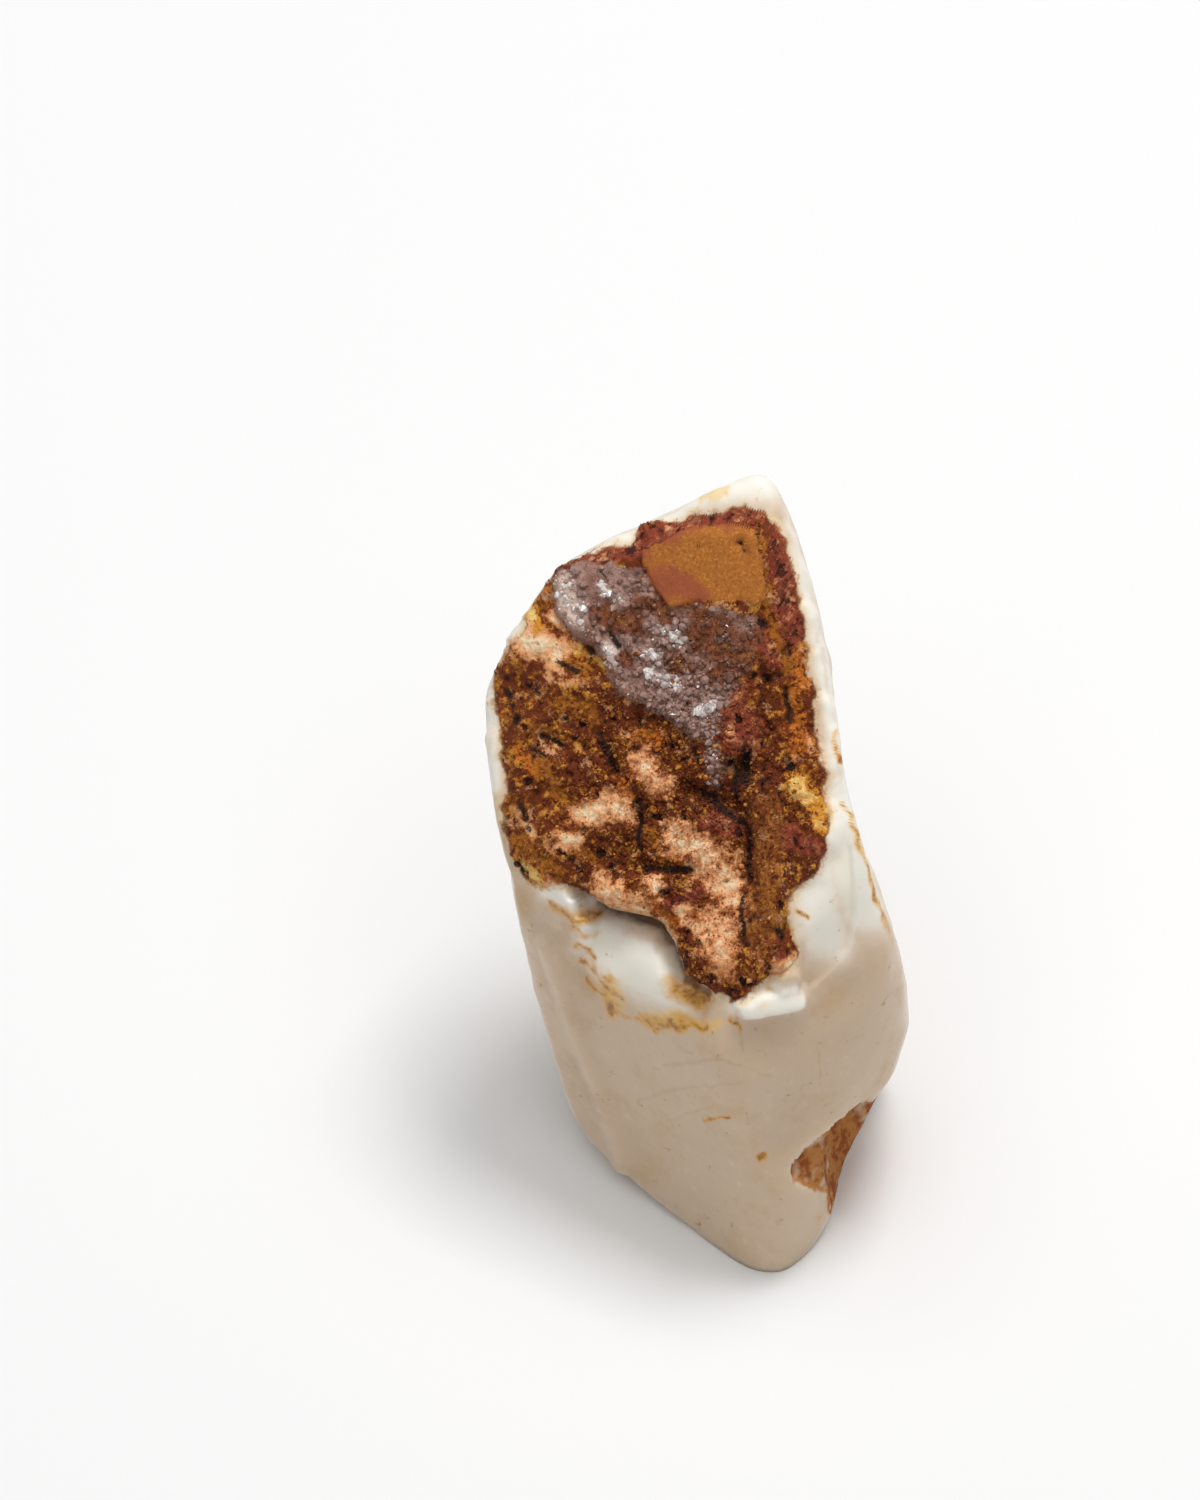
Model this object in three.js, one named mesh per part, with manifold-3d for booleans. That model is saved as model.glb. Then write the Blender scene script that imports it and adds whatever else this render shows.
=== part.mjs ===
// A rough piece of boulder opal: a block of milky white opal that still carries a rust-brown
// ironstone crust on its sloping upper face. One solid in millimetres, +Z up, standing on a flat spot
// whose middle is the origin. The crust faces -Y and up.
import * as THREE from "three";
import { mergeVertices } from "three/addons/utils/BufferGeometryUtils.js";
import Module from "manifold-3d";

// The point inside the stone that every facet is measured from.
const MIDDLE = new THREE.Vector3(-2.2, 4.6, 23);

// Broken faces: azimuth from +X in degrees, upward tilt in degrees, distance from the middle in mm.
const FACETS = [
  [252, 50, 9.5], // sloping face under the crust
  [232, 4, 10.1], // wide front face, turned to the left
  [247, 7, 12.3], // turn from the front to the toe
  [262, 11, 13.9], // round of the toe, left
  [278, 5, 16.9], // round of the toe, middle
  [296, 8, 18.1], // round of the toe, right
  [203, -8, 13.9], // narrow bevel at the left edge
  [183, -9, 13.3], // left flank, wider above than below
  [160, 14, 21.4], // upper left edge
  [120, 33, 27.6], // long edge from the upper left to the peak
  [66, 33, 32.6], // behind the peak
  [11, 8, 13.8], // right side
  [352, 36, 19.2], // bevel between crust and right side
  [345, 12, 16.2], // right of the shoulder
  [285, 26, 12.1], // three-cornered face on the right shoulder
  [345, 40, 18.9], // bright top of the right shoulder
  [314, 5, 16.1], // front of the right shoulder
  [350, -3, 17], // outside of the right shoulder
  [341, -15, 19.2], // underside of the right shoulder
  [88, -13, 14.7], // back
  [45, -8, 13.7], // back right
  [132, -16, 12.9], // back left
  [205, -62, 23.4], // underside at the left
  [85, -58, 23.6], // underside at the back
  [20, -62, 24.3], // underside at the right
  [0, -90, 24.5], // underside
];
const EDGE_CRISPNESS = 34;

// Shell-like breaks: middle of the scooping ball from the stone's middle and its radius in mm, then how
// crisp its rim is.
const SCOOPS = [
  [16, -10.9, -17.7, 7.2, 60], // notch under the right shoulder
  [36.5, 9.6, 11.9, 27.5, 40], // waist above the right shoulder
  [11.6, -29.1, -4.8, 16, 30], // shallow dish between toe and shoulder
  [2.6, 34.7, 1.8, 20, 40], // dish in the back
  [-15.4, 17.1, -13.9, 14, 40], // dish low on the back left
  [15, 15, -11.7, 10, 40], // dish low on the back right
];
const RIM_SLOPE = 0.4; // share of a ball's section over which the rim of its bite slopes

// The relief of the seen side is laid out as the eye meets it from 54 degrees above the front:
// mm to the right and mm upwards, from a mark near the lower edge of the crust.
const EYE = new THREE.Vector3(-9.6, -445.7, 662.4);
const SIGHT = THREE.MathUtils.degToRad(54);
const SIGHT_RANGE = 780;
const SIGHT_MARK = [-7.35, 11.55];
const SEEN = [0.02, 0.3]; // from where to where a side counts as turned to the eye, as a cosine

const CRUST = [
  [-12.6, 22.4], [-10.7, 25.1], [-7.3, 26.8], [-5, 26.9], [-4, 28.7], [-1.3, 29], [2.8, 29.9],
  [4.6, 29.4], [6.4, 27.3], [7.6, 22.8], [8.5, 16.8], [9.4, 11.9], [9.8, 7.8], [9.6, 4], [7.6, 1.2],
  [6.7, -0.8], [7.5, -4], [5, -5.7], [2.4, -7.4], [1.8, -7], [0.1, -5.8], [-0.8, -5.2], [-1.5, -3.7],
  [-1.8, -2.7], [-2.4, -1.8], [-3.6, -0.9], [-5.1, -0.7], [-6.8, -0.3], [-8.1, 0.9], [-10, 1.6],
  [-11.8, 0.8], [-13.3, 2.2], [-14.5, 5.5], [-14.4, 8.9], [-15, 12.7], [-15.4, 15.3], [-14.6, 17.7],
  [-13.2, 20.3],
];
const PLATE = [
  [-10.7, 24.3], [-8.8, 25.8], [-5.5, 25.6], [-4, 26.9], [-1.3, 28.1], [5.4, 28.1], [5.5, 21.3],
  [5.8, 18.3], [4.6, 15.3], [4.4, 11.9], [2.8, 11.2], [1.5, 10.4], [0.3, 8.8], [-1.1, 9.9], [0.1, 11.7],
  [-0.6, 13.3], [-3.2, 14.8], [-5.8, 15.9], [-6.3, 17.6], [-8.1, 19.4], [-10.3, 21.7],
];
const PLATE_RISE = 0.8;
const PLATE_EDGE = [-0.5, 0.4]; // from where to where its edge rises, in mm inside the outline
const CRUST_RISE = 0.35;
const CRUST_EDGE = [-0.5, 0.5];

// The white hollow: inside this outline, which begins with the crust's overhanging lip, the stone is cut
// back to one face: azimuth, tilt and distance from the middle.
const HOLLOW = [
  [-8.1, 0.9], [-6.8, -0.3], [-5.1, -0.7], [-3.6, -0.9], [-2.4, -1.8], [-1.8, -2.7], [-1.5, -3.7],
  [-0.8, -5.2], [0.1, -5.8], [1.8, -7], [3.2, -11], [2.5, -22], [-20, -22], [-20, 3], [-13.3, 2],
  [-11.8, 0.6], [-10, 1.4],
];
const SHELF = [244, 47, 7.9];
const SHELF_SOFTNESS = 0.5; // how far the round of the shelf's lower edge reaches
const SHELF_LEFT = [-9.9, -8.1]; // in sight, where the hollow begins and where it has its full depth
const LEFT_LEAN = 0.15; // how far that left end leans over for each mm upwards

// The rusty break in the notch: its outline, then a trough in it like the pits below.
const NOTCH = [
  [6.9, -19.9], [8, -18.4], [9.7, -17.1], [12.2, -15], [15, -14.4], [15, -19.6], [12, -22],
  [8.8, -21.6], [7.2, -20.9],
];
const NOTCH_TROUGH = [8.4, -19.4, 12.2, -16.2, 2.2, 1.2];
const BREAK_EDGE = 0.7; // width over which a break's edge falls away

// Lumps and pits: where one begins, where it ends, its half width and its height in mm (pits are negative).
const LUMPS = [
  [-3.2, 9.7, -3.2, 9.7, 1.6, 0.7], // pale opal knob below the plate
  [-0.8, 4.6, -0.4, 5.2, 2.2, 0.6], // pale opal knob in the middle
  [-6.3, 6.6, -5.6, 6.9, 1.4, 0.5], // small knobs at the left
  [-9.6, 5.1, -9, 5.4, 1.2, 0.4],
  [-6.6, 0.8, -3.2, 0.9, 1.7, 0.8], // lip over the white hollow
  [0.9, -3.6, 1.2, -3.2, 1.8, 0.7], // knob at the crust's lower tip
  [1.9, -0.8, 2.1, -0.6, 1.6, 0.4],
  [-12.6, 19.3, -11.8, 19.8, 1.8, 0.5], // clear opal lumps at the upper left
  [8.4, 4.6, 8.9, 5, 1.7, 0.7], // rusty knob at the right edge
  [8, 8.6, 8.2, 8.9, 1.5, 0.4],
  [5, 8.4, 5.8, -3.4, 1.4, 0.5], // smooth upright rib
  [6.4, -5.2, 7, -5, 1, 0.5], // white ledge, upper step
  [3.8, -7.8, 7.3, -7.3, 1, 0.6], // white ledge, lower step
  [-5.2, -4.6, -3, -5.4, 2.4, 1.1], // bulge of the white shelf
  [-11.2, -2.6, -5.6, -19.5, 0.9, 0.35], // ridge between the front and its left bevel
  [3.5, 10.2, 3.5, 10.2, 0.9, -1.3], // deep pit
  [-4, 2.8, -0.7, 2.4, 0.7, -0.8], // cleft across
  [1.5, 8.1, 3.5, 6.9, 0.7, -0.8], // cleft down the left of the rib
  [3.5, 6.9, 3.7, 2, 0.7, -0.8],
  [-0.6, 8.7, 1.9, 7.8, 0.7, -0.7], // cleft under the plate
  [6.1, -2.1, 6.3, -1.9, 0.8, -0.7], // pits low on the rib
  [-8.2, 19, -7.9, 18.6, 0.8, -0.8], // hole beside the plate
  [-4.3, 6.3, -4.3, 6.3, 0.7, -0.6],
  [-7.6, -0.6, -3.3, -1.7, 0.8, -1.6], // groove under the lip
  [-3.3, -1.7, -1.6, -5.2, 0.8, -1.6],
];

const CRUMB_SIZE = 2.6;
const CRUMB_HEIGHT = 0.4;
const PLATE_CALM = 0.6; // how much the plate quiets the crumbs
const SWELL_SIZE = 7;
const SWELL_HEIGHT = 0.3;
const GROUND_WIDE = 100;
const GROUND_DEEP = 20;
const WELD = 1e-4; // corners this close are one
const BALL_DETAIL = 21;
const LONG_AXIS = new THREE.Vector3(0, 0.5, 0.866);
const STRETCH = 2.3;
const CRUST_SIDE = new THREE.Vector3(0, -0.1, 0.45); // moves the finer half of the surface to the crust

const smooth = THREE.MathUtils.smoothstep;

// The outward direction of a face from its azimuth and tilt.
function faceNormal([azimuth, tilt]) {
  const a = THREE.MathUtils.degToRad(azimuth);
  const t = THREE.MathUtils.degToRad(tilt);
  return new THREE.Vector3(Math.cos(t) * Math.cos(a), Math.cos(t) * Math.sin(a), Math.sin(t));
}

// A number from 0 to 1 for each point of a whole-number lattice.
function scatter(i, j, k) {
  const s = Math.sin(i * 127.1 + j * 311.7 + k * 74.7) * 43758.5453;
  return s - Math.floor(s);
}

// Smooth random lumps, -1 to 1, of about the given size.
function lumpiness(point, size) {
  const cell = point.toArray().map((c) => Math.floor(c / size));
  const part = point.toArray().map((c, n) => c / size - cell[n]);
  const ease = part.map((f) => f * f * (3 - 2 * f));
  let sum = 0;
  for (let corner = 0; corner < 8; corner++) {
    const step = [corner & 1, (corner >> 1) & 1, corner >> 2];
    const share = step.reduce((w, s, n) => w * (s ? ease[n] : 1 - ease[n]), 1);
    sum += share * scatter(cell[0] + step[0], cell[1] + step[1], cell[2] + step[2]);
  }
  return 2 * sum - 1;
}

// How far a point in the sight plane lies outside an outline in mm, negative inside.
function outsideBy(outline, [x, y]) {
  let nearest = Infinity;
  let inside = false;
  outline.forEach(([ax, ay], n) => {
    const [bx, by] = outline[(n + 1) % outline.length];
    nearest = Math.min(nearest, distanceToLine(x, y, ax, ay, bx, by));
    if (ay > y !== by > y && x < ax + ((y - ay) / (by - ay)) * (bx - ax)) inside = !inside;
  });
  return inside ? -nearest : nearest;
}

function distanceToLine(x, y, ax, ay, bx, by) {
  const length = (bx - ax) ** 2 + (by - ay) ** 2;
  const along = length ? ((x - ax) * (bx - ax) + (y - ay) * (by - ay)) / length : 0;
  const t = THREE.MathUtils.clamp(along, 0, 1);
  return Math.hypot(x - ax - t * (bx - ax), y - ay - t * (by - ay));
}

// Where a point shows in the sight plane: mm to the right and mm upwards.
function inSight(point) {
  const q = point.clone().sub(EYE);
  const depth = q.y * Math.cos(SIGHT) - q.z * Math.sin(SIGHT);
  const rise = q.y * Math.sin(SIGHT) + q.z * Math.cos(SIGHT);
  return [SIGHT_MARK[0] + (SIGHT_RANGE * q.x) / depth, SIGHT_MARK[1] + (SIGHT_RANGE * rise) / depth];
}

const planeOf = (facet) => ({ normal: faceNormal(facet), distance: facet[2] });
const faces = FACETS.map(planeOf);
const shelf = planeOf(SHELF);
const balls = SCOOPS.map(([x, y, z, radius, crisp]) => {
  return { middle: new THREE.Vector3(x, y, z), radius, crisp };
});

// The broken block along one direction: distance from the middle to its surface, and the surface's normal.
function block(direction) {
  let sum = 0;
  const normal = new THREE.Vector3();
  for (const face of faces) {
    const share = Math.max(direction.dot(face.normal) / face.distance, 0);
    sum += share ** EDGE_CRISPNESS;
    normal.addScaledVector(face.normal, share ** (EDGE_CRISPNESS - 1) / face.distance);
  }
  let radius = sum ** (-1 / EDGE_CRISPNESS);
  for (const ball of balls) {
    const along = direction.dot(ball.middle);
    const reach = along ** 2 - ball.middle.lengthSq() + ball.radius ** 2;
    if (along > 0 && reach > 0) {
      const entry = along - Math.sqrt(reach);
      const bitten = (radius ** -ball.crisp + entry ** -ball.crisp) ** (-1 / ball.crisp);
      radius += (bitten - radius) * smooth(reach, 0, RIM_SLOPE * ball.radius ** 2);
    }
  }
  return { radius, normal: normal.normalize() };
}

// How far the side at a point is turned to the eye: 0 on the hidden side, 1 on the seen side.
function turnedToEye(point, normal) {
  return smooth(normal.dot(EYE.clone().sub(point).normalize()), ...SEEN);
}

// How far the hollow's face lies behind a point of the block, with a soft lower edge.
function cutBack(point, normal) {
  const over = point.clone().sub(MIDDLE).dot(shelf.normal) - shelf.distance;
  const mark = inSight(point);
  const inside = smooth(-outsideBy(HOLLOW, mark), 0, BREAK_EDGE);
  const ended = smooth(mark[0] + LEFT_LEAN * mark[1], ...SHELF_LEFT);
  return (turnedToEye(point, normal) * inside * ended * (over + Math.hypot(over, SHELF_SOFTNESS))) / 2;
}

// Height of the relief over the block at a point: crust, plate, lumps, pits and notch on the seen side,
// crumbs on the crust, and a slow swell over the opal.
function relief(point, normal) {
  const seen = turnedToEye(point, normal);
  const mark = inSight(point);
  const crust = seen * smooth(-outsideBy(CRUST, mark), ...CRUST_EDGE);
  const plate = seen * smooth(-outsideBy(PLATE, mark), ...PLATE_EDGE);
  let height = CRUST_RISE * crust + PLATE_RISE * plate;
  let depth = 0;
  for (const [ax, ay, bx, by, halfWidth, rise] of LUMPS) {
    const off = distanceToLine(mark[0], mark[1], ax, ay, bx, by) / halfWidth;
    const swell = seen * rise * Math.exp(-off * off);
    height += Math.max(swell, 0);
    depth = Math.min(depth, swell);
  }
  const [ax, ay, bx, by, halfWidth, deep] = NOTCH_TROUGH;
  const trough = deep * Math.exp(-((distanceToLine(mark[0], mark[1], ax, ay, bx, by) / halfWidth) ** 2));
  depth -= seen * trough * smooth(-outsideBy(NOTCH, mark), 0, BREAK_EDGE);
  const rough = crust * (1 - PLATE_CALM * plate);
  const crumbs = lumpiness(point, CRUMB_SIZE) + 0.5 * lumpiness(point, CRUMB_SIZE / 2);
  height += CRUMB_HEIGHT * rough * crumbs + SWELL_HEIGHT * (1 - rough) * lumpiness(point, SWELL_SIZE);
  return height + depth;
}

// The whole surface: a ball of directions, drawn out along the stone, pushed out to the block and its
// relief.
function surface() {
  const ball = new THREE.IcosahedronGeometry(1, BALL_DETAIL);
  ball.deleteAttribute("normal");
  ball.deleteAttribute("uv");
  const skin = mergeVertices(ball, WELD);
  const place = skin.attributes.position;
  for (let i = 0; i < place.count; i++) {
    const direction = new THREE.Vector3().fromBufferAttribute(place, i);
    direction.addScaledVector(LONG_AXIS, (STRETCH - 1) * direction.dot(LONG_AXIS));
    direction.add(CRUST_SIDE).normalize();
    const { radius, normal } = block(direction);
    const point = direction.clone().multiplyScalar(radius).add(MIDDLE);
    const height = relief(point, normal);
    const back = cutBack(point, normal);
    point.addScaledVector(normal, height).addScaledVector(shelf.normal, -back);
    place.setXYZ(i, point.x, point.y, point.z);
  }
  return skin;
}

const wasm = await Module();
wasm.setup();

function solidOf(geometry) {
  return new wasm.Manifold(
    new wasm.Mesh({
      numProp: 3,
      vertProperties: new Float32Array(geometry.attributes.position.array),
      triVerts: new Uint32Array(geometry.index.array),
    }),
  );
}

// The flat spot: everything below the ground is cut away.
const ground = new THREE.BoxGeometry(GROUND_WIDE, GROUND_WIDE, GROUND_DEEP);
ground.translate(0, 0, -GROUND_DEEP / 2);
ground.deleteAttribute("normal");
ground.deleteAttribute("uv");
const stone = solidOf(surface()).subtract(solidOf(mergeVertices(ground, WELD))).getMesh();

const geometry = new THREE.BufferGeometry();
geometry.setAttribute("position", new THREE.BufferAttribute(stone.vertProperties, 3));
geometry.setIndex(new THREE.BufferAttribute(stone.triVerts, 1));
geometry.computeVertexNormals();

const opal = new THREE.Mesh(geometry, new THREE.MeshStandardMaterial({ color: "#cdbfae", roughness: 0.5 }));
opal.name = "boulder_opal";
const part = new THREE.Group();
part.add(opal);
export default part;
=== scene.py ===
"""A rough piece of boulder opal: a block of milky white opal that keeps its rust-brown ironstone crust
on the sloping upper face. Lengths in the tables are millimetres; meshes are made in metres."""

from functools import partial
from itertools import product
from math import radians

import bpy
import numpy as np
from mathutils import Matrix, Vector


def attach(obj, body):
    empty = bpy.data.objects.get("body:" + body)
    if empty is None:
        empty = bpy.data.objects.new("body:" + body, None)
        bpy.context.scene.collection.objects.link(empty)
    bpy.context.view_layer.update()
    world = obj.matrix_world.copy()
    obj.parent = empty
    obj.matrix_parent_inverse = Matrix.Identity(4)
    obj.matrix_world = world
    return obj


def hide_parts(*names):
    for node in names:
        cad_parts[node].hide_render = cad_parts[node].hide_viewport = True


bl_info = {
    "name": "Boulder Opal",
    "version": (1, 0, 0),
    "blender": (4, 5, 0),
    "location": "3D View > Sidebar > Opal",
    "description": "Builds a rough boulder opal with its ironstone crust, crumbs and quartz druse",
    "category": "Add Mesh",
}

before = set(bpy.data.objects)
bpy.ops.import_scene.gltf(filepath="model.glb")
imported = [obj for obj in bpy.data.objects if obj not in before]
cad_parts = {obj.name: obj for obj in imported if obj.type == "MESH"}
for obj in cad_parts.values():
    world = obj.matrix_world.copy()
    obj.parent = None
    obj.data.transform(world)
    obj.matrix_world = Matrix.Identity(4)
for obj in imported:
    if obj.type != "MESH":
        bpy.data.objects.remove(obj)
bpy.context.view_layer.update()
MM = 0.001

# The block, as the solid has it

MIDDLE = np.array([-2.2, 4.6, 23])
FACETS = np.array([  # azimuth from +X, upward tilt, distance from MIDDLE
    # sloping face under the crust, wide front face, its turn to the toe, round of the toe from left to right
    (252, 50, 9.5), (232, 4, 10.1), (247, 7, 12.3), (262, 11, 13.9), (278, 5, 16.9), (296, 8, 18.1),
    # bevel at the left edge, left flank, upper left edge, long edge up to the peak, behind the peak
    (203, -8, 13.9), (183, -9, 13.3), (160, 14, 21.4), (120, 33, 27.6), (66, 33, 32.6),
    # right side, bevel between it and the crust
    (11, 8, 13.8), (352, 36, 19.2),
    # right shoulder: its right, three-cornered face, bright top, front, outside, underside
    (345, 12, 16.2), (285, 26, 12.1), (345, 40, 18.9), (314, 5, 16.1), (350, -3, 17), (341, -15, 19.2),
    # back, back right, back left
    (88, -13, 14.7), (45, -8, 13.7), (132, -16, 12.9),
    # underside at the left, at the back, at the right, flat spot
    (205, -62, 23.4), (85, -58, 23.6), (20, -62, 24.3), (0, -90, 24.5),
])
EDGE_CRISPNESS = 34
SCOOPS = [  # middle of a ball from MIDDLE, its radius, crispness of the rim that it leaves
    (16, -10.9, -17.7, 7.2, 60),  # notch under the right shoulder
    (36.5, 9.6, 11.9, 27.5, 40),  # waist above the right shoulder
    (11.6, -29.1, -4.8, 16, 30),  # shallow dish between toe and shoulder
    (2.6, 34.7, 1.8, 20, 40),  # dish in the back
    (-15.4, 17.1, -13.9, 14, 40),  # dish low on the back left
    (15, 15, -11.7, 10, 40),  # dish low on the back right
]
RIM_SLOPE = 0.4  # share of a ball's section over which the rim of its bite slopes
LONG_AXIS = np.array([0, 0.5, 0.866])  # axis along which the grid is drawn out
STRETCH = 1.2
TOWARDS_CRUST = (-0.12, -0.3, 0.82)  # push that makes the grid finest on the crust

# Marks in the sight plane
# The crust's features are drawn in the plane of sight: mm to the right and mm upwards of the middle of
# the crust's lower half, as they show from EYE, which looks down at the angle SIGHT.

EYE = np.array([-9.6, -445.7, 662.4])
SIGHT = radians(54)
SIGHT_RANGE = 780.0  # distance from EYE at which a mark's millimetres are true
SIGHT_MARK = np.array([-7.35, 11.55])  # mark in the middle of the view
LENS, SENSOR = 249.6, 36  # focal length and picture height in the camera

CRUST = [
    (-12.6, 22.4), (-10.7, 25.1), (-7.3, 26.8), (-5, 26.9), (-4, 28.7), (-1.3, 29), (2.8, 29.9), (4.6, 29.4),
    (6.4, 27.3), (7.6, 22.8), (8.5, 16.8), (9.4, 11.9), (9.8, 7.8), (9.6, 4), (7.6, 1.2), (6.7, -0.8),
    (7.5, -4), (5, -5.7), (2.4, -7.4), (1.8, -7), (0.1, -5.8), (-0.8, -5.2), (-1.5, -3.7), (-1.8, -2.7),
    (-2.4, -1.8), (-3.6, -0.9), (-5.1, -0.7), (-6.8, -0.3), (-8.1, 0.9), (-10, 1.6), (-11.8, 0.8),
    (-13.3, 2.2), (-14.5, 5.5), (-14.4, 8.9), (-15, 12.7), (-15.4, 15.3), (-14.6, 17.7), (-13.2, 20.3),
]
PLATE = [
    (-10.7, 24.3), (-8.8, 25.8), (-5.5, 25.6), (-4, 26.9), (-1.3, 28.1), (5.4, 28.1), (5.5, 21.3),
    (5.8, 18.3), (4.6, 15.3), (4.4, 11.9), (2.8, 11.2), (1.5, 10.4), (0.3, 8.8), (-1.1, 9.9), (0.1, 11.7),
    (-0.6, 13.3), (-3.2, 14.8), (-5.8, 15.9), (-6.3, 17.6), (-8.1, 19.4), (-10.3, 21.7),
]
OCHRE = [  # powdery yellow-brown slab at the top of the plate
    (-4, 26.6), (-1.9, 27.4), (-1, 28.1), (2.8, 28.6), (4.5, 28.1), (5.1, 25.8), (5.2, 22.8), (4.4, 22.3),
    (3.5, 22.7), (0.1, 22.8), (-1.9, 22.3), (-3, 23.6), (-3.8, 25.3),
]
RIB = [  # powdery rib at the right of the lower crust
    (4, 8.5), (6.5, 8.9), (6.9, 5.5), (6.5, 1.8), (6.3, -1.9), (5.4, -3.8), (3.9, -4.2), (3.7, 0.3),
    (3.9, 4.8),
]
DRUSE = [  # lilac-grey quartz on the middle of the plate, with a tongue down its right
    (-10.3, 24.4), (-8.8, 25.4), (-6.6, 25.6), (-4.3, 24.7), (-3.2, 23.4), (-1.9, 22.3), (0.1, 22.4),
    (4.3, 22.1), (5, 19.8), (3.8, 17.7), (2.2, 16.1), (1.3, 13.8), (1.3, 11.5), (1.2, 9.4), (0.6, 9.2),
    (0.1, 11.2), (-0.6, 12.7), (-1.9, 13.7), (-3.2, 14.7), (-5.5, 16.1), (-6.1, 17.7), (-7.3, 19.1),
    (-8.5, 19.8), (-9.6, 21.1), (-10.6, 22.8),
]
NOTCH = [  # rusty break under the right shoulder
    (6.9, -19.9), (8, -18.4), (9.7, -17.1), (12.2, -15), (15, -14.4), (15, -19.6), (12, -22), (8.8, -21.6),
    (7.2, -20.9),
]
LIP = CRUST[28:18:-1]  # edge of the crust that stands out over the white hollow
HOLLOW = LIP + [(3.2, -11), (2.5, -22), (-20, -22), (-20, 3), (-13.3, 2), (-11.8, 0.6), (-10, 1.4)]
SHELF = (244, 47, 7.9)  # face of the hollow under the lip: azimuth, tilt, distance from MIDDLE
SHELF_SOFTNESS = 0.5
SHELF_END = (-2, 0.2)  # where the hollow runs out at its right, counted to the left
FLAKES = (-9.5, -8.6)  # where the flaky beds at the hollow's left start and end
BED = 1.2  # thickness of a flaky bed
SHARP_EDGE = (0, 0.22)  # how far inside its outline a hollow starts and is full
CHIP = [  # shell-shaped chip between the crust and the right shoulder
    (10, 8.6), (10.7, 8.5), (11.4, 4.8), (11.8, 1.4), (11.9, -0.8), (11.3, -3.4), (9.8, -5.2), (8.3, -6.5),
    (7.6, -5.5), (7.4, -2), (7.8, 1), (9, 4),
]
CHIP_DIPS = [(11.6, 2.6, 11.4, -2, 2.2, 0.35), (11.4, -2, 8.6, -5.9, 2, 0.3)]
NOTCH_DIPS = [(8.4, -19.4, 12.2, -16.2, 2.2, 1.6)]
LEDGES = [  # white steps under the crust's lowest corner: rise, outline
    (0.65, [(2.6, -7.4), (4.6, -6.4), (7.2, -5.8), (8, -6.6), (7.8, -7.4), (5.6, -8.2), (3.2, -8.6)]),
    (0.55, [(4.8, -6), (6, -4.9), (7.3, -4.5), (7.9, -5.2), (7.5, -6.1), (6.1, -6.5)]),
]
LUMPS = [  # line from, line to, half width, rise
    (-3.2, 9.7, -3.2, 9.7, 1.6, 0.7), (-0.8, 4.6, -0.4, 5.2, 2.2, 0.6), (-6.3, 6.6, -5.6, 6.9, 1.4, 0.5),
    (-9.6, 5.1, -9, 5.4, 1.2, 0.4), (-6.6, 0.8, -3.2, 0.9, 1.7, 0.8), (0.9, -3.6, 1.2, -3.2, 1.8, 0.7),
    (1.9, -0.8, 2.1, -0.6, 1.6, 0.4), (-12.6, 19.3, -11.8, 19.8, 1.8, 0.5), (8.4, 4.6, 8.9, 5, 1.7, 0.7),
    (8, 8.6, 8.2, 8.9, 1.5, 0.4), (5, 8.4, 5.8, -3.4, 1.4, 0.5), (6.4, -5.2, 7, -5, 1, 0.5),
    (3.8, -7.8, 7.3, -7.3, 1, 0.6), (-5.2, -4.6, -3, -5.4, 2.4, 1.1), (-11.2, -2.6, -5.6, -19.5, 0.7, 0.6),
]
HOLES = [  # small pits with painted shade: line from, line to, half width, depth, half width of the painted shade
    (-2.5, 0.8, -2.3, 0.8, 0.5, 0.7, 0.4), (5.2, -4.5, 5.3, -4.6, 0.45, 0.6, 0.35),
    (3.2, 27.2, 3.3, 27.1, 0.35, 0.7, 0.35), (3.5, 26.4, 3.6, 26.3, 0.3, 0.5, 0.25),
    (5.2, 17.1, 5.3, 16.9, 0.4, 0.6, 0.35), (-6.5, 20.4, -5.8, 19.4, 0.5, 0.4, 0.3),
    (-7.3, 12.7, -6.2, 10, 0.6, 0.5, 0.4), (-11.8, 12.7, -10.3, 11.9, 0.5, 0.4, 0.3),
    (6.5, 16.1, 6.9, 13.8, 0.5, 0.4, 0.35),
]
PITS = [  # line from, line to, half width, depth
    *(hole[:6] for hole in HOLES),
    (3.5, 10.2, 3.5, 10.2, 0.9, 1.3), (-4, 2.8, -0.7, 2.4, 0.7, 0.8), (1.5, 8.1, 3.5, 6.9, 0.7, 0.8),
    (3.5, 6.9, 3.7, 2, 0.7, 0.8), (-0.6, 8.7, 1.9, 7.8, 0.7, 0.7), (6.1, -2.1, 6.3, -1.9, 0.8, 0.7),
    (-8.2, 19, -7.9, 18.6, 0.8, 0.8), (-4.3, 6.3, -4.3, 6.3, 0.7, 0.6), (-7.6, -0.6, -3.3, -1.7, 0.8, 1.6),
    (-3.3, -1.7, -1.6, -5.2, 0.8, 1.6),
]
EDGE_RISE, PLATE_RISE, SLAB_RISE, HILL_RISE = 0.35, 0.55, 0.3, 0.42
FINE_CRUMB = 0.45  # size of the finer crumbs as a share of the larger ones' size
ROUNDNESS, LOSS = 1.3, 1.2  # how round a crumb's top is, how deep the gap of a lost one
FACET = 0.75  # width of the quartz facets
# Rows of unevenness: size, height.
HILLS = ((2.6, 1), (1.3, 0.5))
SLAB_SWELL = ((1.1, 0.06), (0.4, 0.025))
OPAL_SWELL = ((7, 0.3), (2.3, 0.13), (0.8, 0.025))
MARGIN_SWELL = ((1.5, 0.28), (0.6, 0.1))
SKIN_SWELL = ((5, 0.16), (2, 0.06))

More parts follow.
